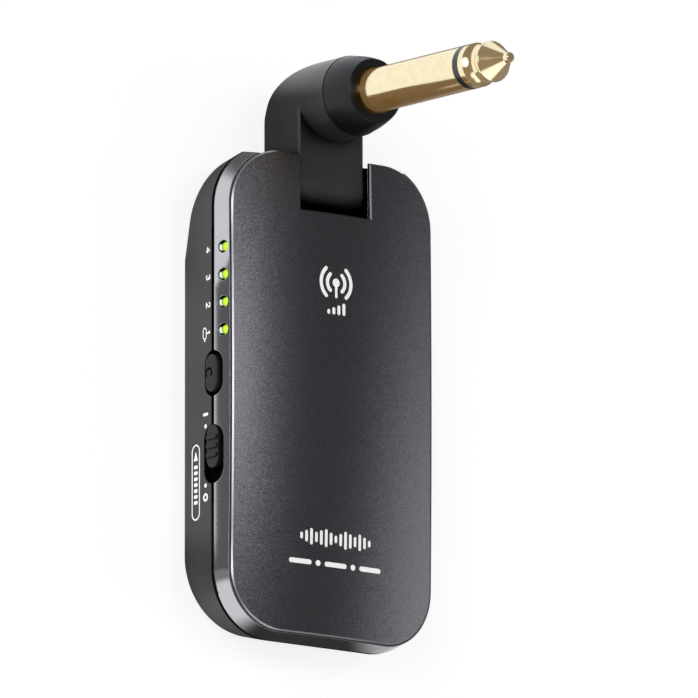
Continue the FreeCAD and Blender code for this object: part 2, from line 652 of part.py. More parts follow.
def main():
    os.makedirs("parts", exist_ok=True)
    for name, build in NODES.items():
        made = build()
        shape = Part.makeCompound(made) if isinstance(made, list) else made
        for solid in shape.Solids:
            if not solid.isValid() or solid.Volume <= 0:
                print("bad solid in", name)
        print(name, len(shape.Solids), round(shape.Volume, 2))
        shape.exportStep("parts/" + name + ".step")


main()
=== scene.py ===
import json
import math

import bmesh
import bpy
from mathutils import Matrix, Vector


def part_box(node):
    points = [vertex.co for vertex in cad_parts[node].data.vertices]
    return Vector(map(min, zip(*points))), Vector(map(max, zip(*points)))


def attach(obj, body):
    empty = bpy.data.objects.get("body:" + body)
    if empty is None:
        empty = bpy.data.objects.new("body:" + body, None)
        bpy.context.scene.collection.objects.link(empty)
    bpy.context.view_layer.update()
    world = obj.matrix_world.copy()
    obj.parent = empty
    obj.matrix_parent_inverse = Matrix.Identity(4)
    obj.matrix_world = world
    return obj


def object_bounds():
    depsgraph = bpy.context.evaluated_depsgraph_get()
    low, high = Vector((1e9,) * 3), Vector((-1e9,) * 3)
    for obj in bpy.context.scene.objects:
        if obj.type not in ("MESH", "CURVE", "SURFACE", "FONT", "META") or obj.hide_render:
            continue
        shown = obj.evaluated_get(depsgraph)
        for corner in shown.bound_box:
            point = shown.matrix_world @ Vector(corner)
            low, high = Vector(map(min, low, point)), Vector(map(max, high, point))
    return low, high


# Looks of the wireless guitar transmitter. Metres in the CAD frame: +Z is the front face's
# normal, +Y runs up the body to the plug, +X is to the right of someone facing the front.
MM = 0.001

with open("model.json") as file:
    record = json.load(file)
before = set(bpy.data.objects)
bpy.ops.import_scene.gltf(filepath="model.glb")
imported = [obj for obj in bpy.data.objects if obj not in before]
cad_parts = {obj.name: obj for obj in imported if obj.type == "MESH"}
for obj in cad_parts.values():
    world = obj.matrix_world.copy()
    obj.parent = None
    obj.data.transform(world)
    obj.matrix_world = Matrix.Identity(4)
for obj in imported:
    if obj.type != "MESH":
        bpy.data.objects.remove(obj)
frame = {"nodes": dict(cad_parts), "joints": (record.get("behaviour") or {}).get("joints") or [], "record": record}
cad_low, cad_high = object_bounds()
nodes = frame["nodes"]

# Measures of the CAD model, in millimetres and in millimetres per millimetre.
PARTING_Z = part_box("bezel_frame")[0].z / MM
PARTING_GAP = 0.28               # width of the dark line between the two shells
SIDE_DRAFT = 0.7 / PARTING_Z     # lean of the rear shell's sides
PARTING_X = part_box("rear_shell")[0].x / MM - SIDE_DRAFT * PARTING_GAP
BAND_SLOPE = 0.181               # lean of the band's sides
CAP_TOP_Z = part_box("plug_cap")[1].z / MM
PLUG_Y = sum(corner.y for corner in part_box("plug_tip")) / 2 / MM
PLATE_TOP_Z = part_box("front_plate")[1].z / MM
PLATE_MIDDLE_Y = sum(corner.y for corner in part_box("front_plate")) / 2 / MM
CROWN_ACROSS = 165.0             # radii of the crowned plate
CROWN_ALONG = 1320.0
LENS_RADIUS = 0.88               # of a lamp's light guide, with its foot
POCKET_REACH = 4.25              # half the length of the slider's pocket
SLIDER_TRAVEL = next(joint["range_m"][1] for joint in frame["joints"]
                     if joint["name"] == "power_slide") / MM


# ---------------------------------------------------------------- node materials

class Graph:
    """Adds nodes to one tree and joins them by socket."""

    def __init__(self, tree):
        self.tree = tree

    def add(self, kind, settings=None, inputs=None):
        node = self.tree.nodes.new(kind)
        for key, value in (settings or {}).items():
            setattr(node, key, value)
        for key, value in (inputs or {}).items():
            self.put(node, key, value)
        return node

    def put(self, node, key, value):
        if isinstance(value, bpy.types.NodeSocket):
            self.tree.links.new(value, node.inputs[key])
        else:
            node.inputs[key].default_value = value

    def math(self, operation, a, b=0.0, clamp=False):
        settings = {"operation": operation, "use_clamp": clamp}
        return self.add("ShaderNodeMath", settings, {0: a, 1: b}).outputs[0]

    def vector(self, operation, a, b):
        node = self.add("ShaderNodeVectorMath", {"operation": operation}, {0: a, 1: b})
        return node.outputs["Value" if operation == "DOT_PRODUCT" else "Vector"]

    def scaled(self, vector, factor):
        node = self.add("ShaderNodeVectorMath", {"operation": "SCALE"}, {0: vector})
        self.put(node, "Scale", factor)
        return node.outputs["Vector"]

    def mix(self, factor, a, b):
        """Colour mix."""
        node = self.add("ShaderNodeMix", {"data_type": "RGBA"})
        self.put(node, 0, factor)
        self.put(node, 6, a)
        self.put(node, 7, b)
        return node.outputs[2]

    def product(self, *values):
        total = values[0]
        for value in values[1:]:
            total = self.math("MULTIPLY", total, value)
        return total

    def largest(self, *values):
        best = values[0]
        for value in values[1:]:
            best = self.math("MAXIMUM", best, value)
        return best

    def less(self, value):
        """What is left of 1."""
        return self.math("SUBTRACT", 1.0, value)

    def axes(self, vector):
        return self.add("ShaderNodeSeparateXYZ", None, {0: vector}).outputs

    def ramp(self, value, low, high):
        """Smooth step from 0 at low to 1 at high. Low may be the larger one."""
        settings = {"interpolation_type": "SMOOTHSTEP"}
        inputs = {"Value": value, "From Min": low, "From Max": high}
        return self.add("ShaderNodeMapRange", settings, inputs).outputs[0]

    def fades(self, value, pairs):
        """One ramp for each pair."""
        return [self.ramp(value, *pair) for pair in pairs]

    def spread(self, value, given, wanted):
        """Straight map of one range to another."""
        inputs = {"Value": value, "From Min": given[0], "From Max": given[1],
                  "To Min": wanted[0], "To Max": wanted[1]}
        return self.add("ShaderNodeMapRange", None, inputs).outputs[0]

    def bumped(self, height, depth, normal):
        """The normal with a relief of depth millimetres."""
        inputs = {"Strength": 1.0, "Distance": depth * MM, "Height": height, "Normal": normal}
        return self.add("ShaderNodeBump", None, inputs).outputs[0]

    def noise(self, vector, scale, detail=3.0, roughness=0.5):
        inputs = {"Vector": vector, "Scale": scale, "Detail": detail, "Roughness": roughness}
        return self.add("ShaderNodeTexNoise", None, inputs).outputs[0]


WHITE = (1, 1, 1, 1)
BARE_METAL = (0.50, 0.50, 0.52, 1)
BARE_METAL_IN_SHADE = (0.10, 0.10, 0.11, 1)
LAMP_LIT_SIDE = (-0.42, -0.10, 0.90)
FLAKE_SIZE = 0.11              # in millimetres
DOME_MIDDLE = (0, 4.0, 0)      # the plate's extra curve: its middle and radii, in millimetres
DOME_ACROSS = 130.0
DOME_ALONG = 400.0

# Fades of the masks: where each one starts and where it is full.
ROUNDED_EDGE = (0.995, 0.86)   # cosine between the rounded normal and the true one
CUT_EDGE = (0.93, 0.85)        # upward part of the normal
PLATE_SIDE = (0.4, 0.3)
POCKET_RIM = (0.55, 0.75)
LAMP_HOLE_FLOOR = (0.84, 0.97)
NEAR_SLOT_X = (11.0, 9.0)      # millimetres in the CAD frame
NEAR_SLOT_Y = (14.0, 16.0)
POCKET_DEPTH = (0.10, 0.18)
POCKET_ENDS_Y = ((-16.5, -16.0), (24.0, 23.5))
POCKET_FOOT_Z = (5.0, 5.5)
LAMP_HOLE_DEPTH = (0.2, 0.28)
LAMP_HOLE_ENDS_Y = ((7.0, 7.4), (22.4, 22.0))
LAMP_HOLE_TOP_Z = (10.2, 10.0)
REAR_EDGE_SHADE_Z = (0.0, 2.6)
SLEEVE_SHADED_FOOT_Z = (CAP_TOP_Z + 0.35, CAP_TOP_Z + 0.1)


def rgba(colour, factor=1.0, lift=0.0):
    """The colour, made lighter or darker, with full opacity."""
    return (*(min(1.0, channel * factor + lift) for channel in colour), 1.0)


def new_material(name):
    """A material with its node graph and its main shader."""
    material = bpy.data.materials.new(name)
    material.use_nodes = True
    graph = Graph(material.node_tree)
    return material, graph, material.node_tree.nodes["Principled BSDF"]


def millimetres(graph):
    """Object coordinates, which are the CAD frame's, in millimetres."""
    place = graph.add("ShaderNodeTexCoord").outputs["Object"]
    return graph.scaled(place, 1000.0)


def edge_mask(graph, radius):
    """Rounded normal, and how far it turns away from the true one."""
    rounded = graph.add("ShaderNodeBevel", {"samples": 6}, {"Radius": radius * MM}).outputs[0]
    true = graph.add("ShaderNodeNewGeometry").outputs["Normal"]
    turned = graph.vector("DOT_PRODUCT", rounded, true)
    return rounded, graph.ramp(turned, *ROUNDED_EDGE)


def surface(name, colour, metallic=0.0, roughness=0.5, grain=8.0, bump=0.004, mottle=0.15,
            edge=0.12, wear=0.25, wear_colour=None, coat=0.0, specular=0.5, stretch=None):
    """A finished material: grain in its bump and roughness, uneven colour, and worn edges."""
    material, graph, shader = new_material(name)
    place = millimetres(graph)
    if stretch:
        place = graph.vector("MULTIPLY", place, stretch)
    fine = graph.noise(place, grain, 4.0, 0.6)
    broad = graph.noise(place, 0.18, 3.0)
    normal, worn = edge_mask(graph, edge)
    worn = graph.product(worn, graph.ramp(graph.noise(place, 0.9), 0.3, 0.62))
    cloud = graph.math("ADD", graph.product(broad, 0.6), graph.product(fine, 0.4))
    cloud = graph.ramp(cloud, 0.32, 0.68)
    tone = graph.mix(cloud, rgba(colour, 1 - mottle), rgba(colour, 1 + mottle))
    bare = rgba(wear_colour) if wear_colour else rgba(colour, 1.8, 0.02)
    tone = graph.mix(graph.product(worn, wear), tone, bare)
    rough = graph.spread(fine, (0.25, 0.75), (roughness * 0.85, min(1.0, roughness * 1.15)))
    graph.put(shader, "Base Color", tone)
    graph.put(shader, "Metallic", metallic)
    graph.put(shader, "Roughness", rough)
    graph.put(shader, "Normal", graph.bumped(fine, bump, normal))
    graph.put(shader, "Coat Weight", coat)
    graph.put(shader, "Coat Roughness", 0.12)
    graph.put(shader, "Specular IOR Level", specular)
    return material


def flake_paint(name, colour, metallic, roughness, sparkle, mottle=0.1, coat=0.2, edge=0.1,
                dome=None, bare=None, painted_shade=None, glint=None):
    """Metallic paint: tiny flakes that each tilt their own way under a clear coat.

    dome gives a faint extra curve. The other three give masks: bare for a cut bare edge, then painted shade on
    walls and gaps (black, with no reflection), then a painted highlight (white and glowing).
    """
    material, graph, shader = new_material(name)
    place = millimetres(graph)
    cells = graph.add("ShaderNodeTexVoronoi", None, {"Vector": place, "Scale": 1.0 / FLAKE_SIZE})
    tilt = graph.vector("SUBTRACT", cells.outputs["Color"], (0.5, 0.5, 0.5))
    rounded, worn = edge_mask(graph, edge)
    painted = 1.0
    if bare:
        bare_part = bare(graph)
        painted = graph.less(bare_part)
        sparkle = graph.product(painted, sparkle)
    if dome:
        rounded = graph.vector("ADD", rounded, graph.scaled(dome(graph, place), painted))
    tilted = graph.vector("ADD", rounded, graph.scaled(tilt, sparkle))
    tilted = graph.add("ShaderNodeVectorMath", {"operation": "NORMALIZE"}, {0: tilted}).outputs[0]
    lightness = graph.add("ShaderNodeSeparateColor", None, {0: cells.outputs["Color"]}).outputs[0]
    broad = graph.noise(place, 0.12, 2.0)
    cloud = graph.math("ADD", graph.product(lightness, 0.75), graph.product(broad, 0.25))
    tone = graph.mix(cloud, rgba(colour, 1 - mottle), rgba(colour, 1 + mottle))
    tone = graph.mix(graph.product(worn, 0.4), tone, rgba(colour, 1.4, 0.03))
    fine = graph.noise(place, 6.0, 3.0)
    rough = graph.spread(fine, (0.3, 0.7), (roughness * 0.9, roughness * 1.1))
    shine = metallic
    if bare:
        # Painted shade: the cut edge turns dark where it lies in the arm's shade near the slot.
        bare_metal_and_painted_shade = graph.mix(slot_mask(graph, place), BARE_METAL, BARE_METAL_IN_SHADE)
        tone = graph.mix(bare_part, tone, bare_metal_and_painted_shade)
        rough = graph.math("ADD", rough, graph.product(bare_part, 0.06), clamp=True)
    # Painted shade: these walls and gaps turn near black, lose their metal, coat and reflection, and grow rougher.
    if painted_shade:
        mask = painted_shade(graph, place)
        left = graph.less(mask)
        tone = graph.mix(mask, tone, (0.003, 0.003, 0.003, 1))
        shine = graph.product(left, metallic)
        rough = graph.math("ADD", rough, graph.product(mask, 0.4), clamp=True)
        graph.put(shader, "Specular IOR Level", graph.product(left, 0.5))
        coat = graph.product(left, coat)
    # Painted highlight: white, glowing and not metallic where the mask is full.
    if glint:
        mask = glint(graph, place)
        tone = graph.mix(mask, tone, (0.95, 0.95, 0.95, 1))
        shine = graph.product(graph.less(mask), shine)
        graph.put(shader, "Emission Color", WHITE)
        graph.put(shader, "Emission Strength", graph.product(mask, 0.7))
    graph.put(shader, "Base Color", tone)
    graph.put(shader, "Metallic", shine)
    graph.put(shader, "Roughness", rough)
    graph.put(shader, "Normal", tilted)
    graph.put(shader, "Coat Weight", coat)
    graph.put(shader, "Coat Roughness", 0.25)
    graph.put(shader, "Coat Normal", rounded)
    return material


def upward_part(graph):
    """How far the surface faces the front: 1 straight at it, 0 sideways."""
    return graph.axes(graph.add("ShaderNodeTexCoord").outputs["Normal"])["Z"]


def chamfer_mask(graph):
    """The plate's cut edge, whose faces turn well away from the front."""
    return graph.ramp(upward_part(graph), *CUT_EDGE)


def slot_mask(graph, place):
    """Surroundings of the arm's slot, where the cut edge lies in the arm's shade."""
    axes = graph.axes(place)
    across = graph.ramp(graph.math("ABSOLUTE", axes["X"]), *NEAR_SLOT_X)
    return graph.product(across, graph.ramp(axes["Y"], *NEAR_SLOT_Y))


def plate_side_mask(graph, place):
    """The plate's upright side, in the shadow gap."""
    return graph.ramp(upward_part(graph), *PLATE_SIDE)


def plate_dome(graph, place):
    """The plate is pressed a little rounder than its outline shows."""
    offset = graph.vector("SUBTRACT", place, DOME_MIDDLE)
    return graph.vector("MULTIPLY", offset, (1 / DOME_ACROSS, 1 / DOME_ALONG, 0))


def side_depth(graph, axes):
    """How far a point lies inside the body's outer side faces, in millimetres."""
    rise = graph.math("SUBTRACT", axes["Z"], PARTING_Z)
    slope = graph.product(rise, BAND_SLOPE)
    flare = graph.product(graph.math("MINIMUM", rise, 0.0), SIDE_DRAFT + BAND_SLOPE)
    face = graph.math("ADD", graph.math("SUBTRACT", -PARTING_X, slope), flare)
    return graph.math("SUBTRACT", face, graph.math("ABSOLUTE", axes["X"]))


def pocket_black_and_shade_mask(graph, place):
    """Walls of the openings in the sides, and more faintly the rims that face the front: painted shade, black with
    their reflection taken away; on the bezel partly its unpainted black plastic.
    """
    axes = graph.axes(place)
    inside = graph.ramp(side_depth(graph, axes), *POCKET_DEPTH)
    along = graph.fades(axes["Y"], POCKET_ENDS_Y)
    deep = graph.product(inside, *along, graph.ramp(axes["Z"], *POCKET_FOOT_Z))
    rim = graph.product(graph.ramp(upward_part(graph), *POCKET_RIM), 0.7)
    return graph.largest(deep, rim)


def lamp_hole_glint_mask(graph, place):
    """Painted highlight: the rear half of the lamp holes' walls is made white and glowing, to show as a small
    glint.
    """
    axes = graph.axes(place)
    inside = graph.ramp(side_depth(graph, axes), *LAMP_HOLE_DEPTH)
    along = graph.fades(axes["Y"], LAMP_HOLE_ENDS_Y)
    below = graph.ramp(axes["Z"], *LAMP_HOLE_TOP_Z)
    facing = graph.ramp(upward_part(graph), *LAMP_HOLE_FLOOR)
    return graph.product(inside, *along, below, facing)


def lamp_material(name):
    """Lit lens: its light comes from the front side, and its far side is dark green."""
    material, graph, shader = new_material(name)
    place = millimetres(graph)
    normal = graph.add("ShaderNodeTexCoord").outputs["Normal"]
    lit = graph.vector("DOT_PRODUCT", normal, LAMP_LIT_SIDE)
    grain = graph.noise(place, 3.0)
    glow = graph.ramp(graph.math("ADD", lit, graph.product(grain, 0.1)), 0.0, 0.7)
    core = graph.ramp(lit, 0.45, 0.9)
    tone = graph.mix(glow, (0.02, 0.06, 0.002, 1), (0.40, 0.72, 0.006, 1))
    tone = graph.mix(core, tone, (0.68, 1.0, 0.02, 1))
    graph.put(shader, "Base Color", (0.03, 0.08, 0.004, 1))
    graph.put(shader, "Emission Color", tone)
    graph.put(shader, "Emission Strength", 1.0)
    graph.put(shader, "Roughness", graph.ramp(grain, -1.0, 5.0))
    return material


def gold_plating(name):
    """Polished gold: a mirror layer with a little warm colour from below, and painted shade at its foot, by the
    cap, in dark brown.
    """
    material, graph, shader = new_material(name)
    place = millimetres(graph)
    turned = graph.vector("MULTIPLY", place, (1.0, 1.0, 8.0))
    lines = graph.noise(turned, 3.0, 4.0, 0.6)
    smudges = graph.noise(place, 0.7, 3.0)
    normal, worn = edge_mask(graph, 0.06)
    tone = graph.mix(graph.ramp(smudges, 0.3, 0.7), (0.90, 0.83, 0.55, 1), (0.94, 0.88, 0.62, 1))
    tone = graph.mix(graph.product(worn, 0.3), tone, (1.0, 0.93, 0.72, 1))
    # Painted shade and painted reflection of the dark cap: the sleeve's foot turns dark brown.
    foot = graph.ramp(graph.axes(place)["Z"], *SLEEVE_SHADED_FOOT_Z)
    tone = graph.mix(foot, tone, (0.16, 0.10, 0.05, 1))
    graph.put(shader, "Base Color", tone)
    graph.put(shader, "Metallic", 1.0)
    graph.put(shader, "Roughness", graph.spread(smudges, (0.0, 1.0), (0.06, 0.15)))
    graph.put(shader, "Normal", graph.bumped(lines, 0.0006, normal))
    warm = graph.add("ShaderNodeBsdfDiffuse", None, {"Color": (0.80, 0.44, 0.14, 1)}).outputs[0]
    share = graph.product(graph.less(foot), 0.3)
    both = graph.add("ShaderNodeMixShader", None, {0: share, 1: shader.outputs[0], 2: warm})
    output = material.node_tree.nodes["Material Output"]
    graph.put(output, "Surface", both.outputs[0])
    return material


def printed_ink_with_painted_glow(name):
    """White ink with a faint painted glow, so that it stays white in the body's shade."""
    material = surface(name, (0.88, 0.88, 0.86), roughness=0.45, grain=10.0, bump=0.002,
                       mottle=0.04, edge=0.02, wear=0.3, wear_colour=(0.6, 0.6, 0.6))
    shader = material.node_tree.nodes["Principled BSDF"]
    # Painted light: a faint white glow on the ink.
    shader.inputs["Emission Color"].default_value = WHITE
    shader.inputs["Emission Strength"].default_value = 0.38
    return material


def reopened(material):
    """A finished material's graph, main shader and colour, to add to."""
    shader = material.node_tree.nodes["Principled BSDF"]
    return Graph(material.node_tree), shader, shader.inputs["Base Color"].links[0].from_socket


def shaded_hollows(material, reach):
    """Painted shade: darkens engraved and narrow places, where shadow gathers, and takes their reflection away."""
    graph, shader, tone = reopened(material)
    hollow = graph.add("ShaderNodeAmbientOcclusion", {"samples": 4}, {"Distance": reach * MM})
    open_part = graph.ramp(hollow.outputs["AO"], 0.45, 0.85)
    # Painted shade: near black where the ambient occlusion finds hollows.
    graph.put(shader, "Base Color", graph.mix(open_part, (0.0008, 0.0008, 0.0008, 1), tone))
    graph.put(shader, "Specular IOR Level", graph.product(open_part, 0.5))
    return material


def rear_plastic(name):
    """Matte plastic, with painted shade darkening it towards the rear edge and painted black shade inside the
    openings.
    """
    material = surface(name, (0.041, 0.041, 0.041), roughness=0.5, grain=9.0, edge=0.15)
    graph, shader, tone = reopened(material)
    place = millimetres(graph)
    # Painted shade: light falls off towards the rear edge, so the colour darkens there.
    height = graph.ramp(graph.axes(place)["Z"], *REAR_EDGE_SHADE_Z)
    tone = graph.mix(height, (0.014, 0.014, 0.014, 1), tone)
    # Painted shade: near black with no reflection inside the openings and on the rims that face the front.
    painted_shade = pocket_black_and_shade_mask(graph, place)
    tone = graph.mix(painted_shade, tone, (0.002, 0.002, 0.002, 1))
    graph.put(shader, "Base Color", tone)
    graph.put(shader, "Specular IOR Level", graph.product(graph.less(painted_shade), 0.5))
    return material


def plate_paint(name):
    return flake_paint(name, (0.098, 0.096, 0.109), metallic=0.88, roughness=0.27,
                       sparkle=0.09, dome=plate_dome, bare=chamfer_mask, painted_shade=plate_side_mask)


def band_paint(name):
    return flake_paint(name, (0.50, 0.50, 0.53), metallic=1.0, roughness=0.075,
                       sparkle=0.008, mottle=0.06, coat=0.0, edge=0.07,
                       painted_shade=pocket_black_and_shade_mask, glint=lamp_hole_glint_mask)


def arm_plastic(name):
    return shaded_hollows(surface(name, (0.022, 0.022, 0.0225), roughness=0.4, grain=10.0,
                                  bump=0.003, edge=0.2), 3.0)


def control_plastic(name):
    return shaded_hollows(surface(name, (0.009, 0.009, 0.0093), roughness=0.5, edge=0.12), 0.35)


SPECIAL_FINISHES = {
    "front_plate": plate_paint,
    "bezel": band_paint,
    "rear_shell": rear_plastic,
    "arm_plastic": arm_plastic,
    "gold_plating": gold_plating,
    "lamp_green": lamp_material,
    "button_rubber": control_plastic,
}

PLAIN_FINISHES = {
    "screw_steel": dict(colour=(0.20, 0.20, 0.21), metallic=1.0, roughness=0.34,
                        wear_colour=(0.6, 0.6, 0.6)),
    "cap_plastic": dict(colour=(0.004, 0.004, 0.0043), roughness=0.36, grain=10.0, bump=0.002,
                        edge=0.12, wear=0.1, specular=0.34),
    "black_nylon": dict(colour=(0.02, 0.02, 0.024), roughness=0.28, bump=0.001),
    "tinned_brass": dict(colour=(0.62, 0.61, 0.58), metallic=1.0, roughness=0.35),
    "axle_steel": dict(colour=(0.55, 0.55, 0.56), metallic=1.0, roughness=0.25, stretch=(6, 1, 1)),
    "bush_bronze": dict(colour=(0.62, 0.45, 0.25), metallic=1.0, roughness=0.42),
    "spring_steel": dict(colour=(0.20, 0.20, 0.21), metallic=1.0, roughness=0.4),
    "washer_nylon": dict(colour=(0.02, 0.02, 0.02), roughness=0.5),
    "red_wire": dict(colour=(0.50, 0.03, 0.02), roughness=0.45),
    "lamp_chip": dict(colour=(0.80, 0.80, 0.75), roughness=0.4),
    "switch_black": dict(colour=(0.02, 0.02, 0.02), roughness=0.5),
    "switch_white": dict(colour=(0.78, 0.78, 0.76), roughness=0.45),
    "board_green": dict(colour=(0.015, 0.11, 0.05), roughness=0.3, coat=0.3),
    "port_steel": dict(colour=(0.66, 0.66, 0.67), metallic=1.0, roughness=0.26,
                       stretch=(0.2, 1, 1)),
    "pouch_foil": dict(colour=(0.72, 0.72, 0.73), metallic=1.0, roughness=0.3, grain=2.0,
                       bump=0.03),
    "foam": dict(colour=(0.05, 0.05, 0.05), roughness=0.9, grain=3.0, bump=0.05),
    "connector_white": dict(colour=(0.84, 0.82, 0.76), roughness=0.45),
    "chip_black": dict(colour=(0.02, 0.02, 0.022), roughness=0.55),
    "can_steel": dict(colour=(0.70, 0.70, 0.70), metallic=1.0, roughness=0.3, stretch=(1, 0.1, 1)),
    "passive_mix": dict(colour=(0.35, 0.28, 0.20), roughness=0.4, mottle=0.4),
}


def dress_nodes():
    """Gives each CAD node the finish of its material slot."""
    materials = {slot: make(slot) for slot, make in SPECIAL_FINISHES.items()}
    for slot, settings in PLAIN_FINISHES.items():
        materials[slot] = surface(slot, **settings)
    for part in frame["record"]["subparts"]:
        mesh = nodes[part["node"]].data
        mesh.materials.clear()
        mesh.materials.append(materials[part["material_slot"]])


# ---------------------------------------------------------------- printed marks

INK_SUNK = -0.03      # the ink layer's underside and top, from the surface it lies on
INK_PROUD = 0.02
NUMBERS_V = PARTING_Z - 1.1      # rows of the side's marks
BATTERY_V = PARTING_Z - 2.0
SWITCH_V = PARTING_Z - 1.75
DOCK_MARK = (12.6, 4.1)
BROADCAST_Y = 16.9               # rows of the plate's marks
SIGNAL_BARS_Y = 12.55
WAVEFORM_Y = -20.0
DASHES_Y = -23.7
WAVE_STEP = 0.86
WAVE_BARS = (0.25, 0.6, 0.95, 0.5, 0.8, 1.05, 0.65, 0.3,
             0.65, 1.05, 0.8, 0.5, 0.95, 0.6, 0.25)   # half heights


def on_plate(u, v, height):
    """u to the right and v up the crowned plate, in millimetres."""
    crown = u ** 2 / (2 * CROWN_ACROSS) + (v - PLATE_MIDDLE_Y) ** 2 / (2 * CROWN_ALONG)
    return Vector((u, v, PLATE_TOP_Z - crown + height)) * MM


def on_side(u, v, height):
    """u down the body and v towards the front, on the rear shell's left side."""
    return Vector((PARTING_X + SIDE_DRAFT * (PARTING_Z - v) - height, -u, v)) * MM


def ribbon(path, width, round_ends=True):
    """Pairs of points on both sides of a path, with round ends if asked."""
    points = [Vector(point) for point in path]
    half = width / 2
    pairs = []
    for i, point in enumerate(points):
        before = points[max(i - 1, 0)]
        after = points[min(i + 1, len(points) - 1)]
        along = (after - before).normalized()
        across = Vector((-along.y, along.x))
        ends = [(i == 0, -1), (i == len(points) - 1, 1)]
        steps = [(0.0, 1.0)]
        for is_end, sign in ends:
            if is_end and round_ends:
                angles = [math.pi / 2 * k / 5 for k in range(6)]
                steps = [(sign * math.sin(a) * half, max(math.cos(a), 0.02)) for a in angles]
                if sign < 0:
                    steps.reverse()
        for shift, share in steps:
            centre = point + along * shift
            pairs.append((centre + across * half * share, centre - across * half * share))
    return pairs


def line(x0, y0, x1, y1):
    """Points along a straight stroke, half a millimetre apart or less."""
    count = max(2, int(math.hypot(x1 - x0, y1 - y0) / 0.5) + 1)
    return [(x0 + (x1 - x0) * i / (count - 1), y0 + (y1 - y0) * i / (count - 1))
            for i in range(count)]


def arc(x, y, radius, start, end):
    """Points round (x, y), from start to end in degrees."""
    count = max(8, int(abs(end - start) / 8) + 1)
    angles = [math.radians(start + (end - start) * i / (count - 1)) for i in range(count)]
    return [(x + radius * math.cos(a), y + radius * math.sin(a)) for a in angles]


def disc(x, y, radius):
    """A round dot as pairs of points from its bottom to its top."""
    angles = [-math.pi / 2 + math.pi * i / 14 for i in range(15)]
    return [(Vector((x - radius * max(math.cos(a), 0.02), y + radius * math.sin(a))),
             Vector((x + radius * max(math.cos(a), 0.02), y + radius * math.sin(a))))
            for a in angles]


def wedge(x, y, half_width, length):
    """Triangle from its base at (x, y) to a point further along -u."""
    return [(Vector((x - length * i / 6, y - half_width * (1 - i / 6) - 0.01)),
             Vector((x - length * i / 6, y + half_width * (1 - i / 6) + 0.01)))
            for i in range(7)]


def pill(x0, x1, y, half_height):
    """Closed path round an oval."""
    low, high = x0 + half_height, x1 - half_height
    path = arc(high, y, half_height, -90, 90)
    path += line(high, y + half_height, low, y + half_height)[1:]
    path += arc(low, y, half_height, 90, 270)[1:]
    path += line(low, y - half_height, high, y - half_height)[1:]
    return path


def fix_normals(mesh):
    """Turns every face outwards."""
    work = bmesh.new()
    work.from_mesh(mesh)
    bmesh.ops.recalc_face_normals(work, faces=work.faces)
    work.to_mesh(mesh)
    work.free()


def ink(name, strips, place, material):
    """Thin closed layers of ink, one for each strip of point pairs."""
    vertices, faces = [], []
    for pairs in strips:
        first = len(vertices)
        for left, right in pairs:
            for point, height in ((left, INK_PROUD), (right, INK_PROUD),
                                  (right, INK_SUNK), (left, INK_SUNK)):
                vertices.append(place(point.x, point.y, height))
        count = len(pairs)
        for i in range(count - 1):
            a, b = first + 4 * i, first + 4 * (i + 1)
            for k in range(4):
                faces.append((a + k, a + (k + 1) % 4, b + (k + 1) % 4, b + k))
        last = first + 4 * (count - 1)
        faces.append((first + 3, first + 2, first + 1, first))
        faces.append((last, last + 1, last + 2, last + 3))
    mesh = bpy.data.meshes.new(name)
    mesh.from_pydata(vertices, [], faces)
    mesh.validate()
    mesh.materials.append(material)
    piece = bpy.data.objects.new(name, mesh)
    bpy.context.scene.collection.objects.link(piece)
    fix_normals(mesh)
    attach(piece, "body")


# Strokes of each digit in a unit square.
DIGITS = {
    "1": [[(0.25, 0.78), (0.55, 1.0)], [(0.55, 1.0), (0.55, 0.0)]],
    "2": [[(0.1, 0.78), (0.2, 0.95), (0.5, 1.0), (0.8, 0.93), (0.85, 0.7), (0.6, 0.4),
           (0.1, 0.0)],
          [(0.1, 0.0), (0.9, 0.0)]],
    "3": [[(0.1, 0.9), (0.5, 1.0), (0.85, 0.85), (0.8, 0.6), (0.45, 0.52)],
          [(0.45, 0.52), (0.85, 0.4), (0.85, 0.15), (0.5, 0.0), (0.1, 0.1)]],
    "4": [[(0.7, 0.0), (0.7, 1.0), (0.08, 0.3)], [(0.08, 0.3), (0.95, 0.3)]],
}


def digit_strips(digit, u, v, size):
    """A digit's strokes, centred on (u, v)."""
    strips = []
    for stroke in DIGITS[digit]:
        path = [(u + (x - 0.5) * size * 0.85, v + (y - 0.5) * size) for x, y in stroke]
        strips.append(ribbon(path, 0.2))
    return strips


def lamp_rows():
    """Y of the four lamps, from the top down, in millimetres."""
    low, high = (corner.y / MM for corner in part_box("light_guides"))
    first, last = high - LENS_RADIUS, low + LENS_RADIUS
    return [first - (first - last) * i / 3 for i in range(4)]


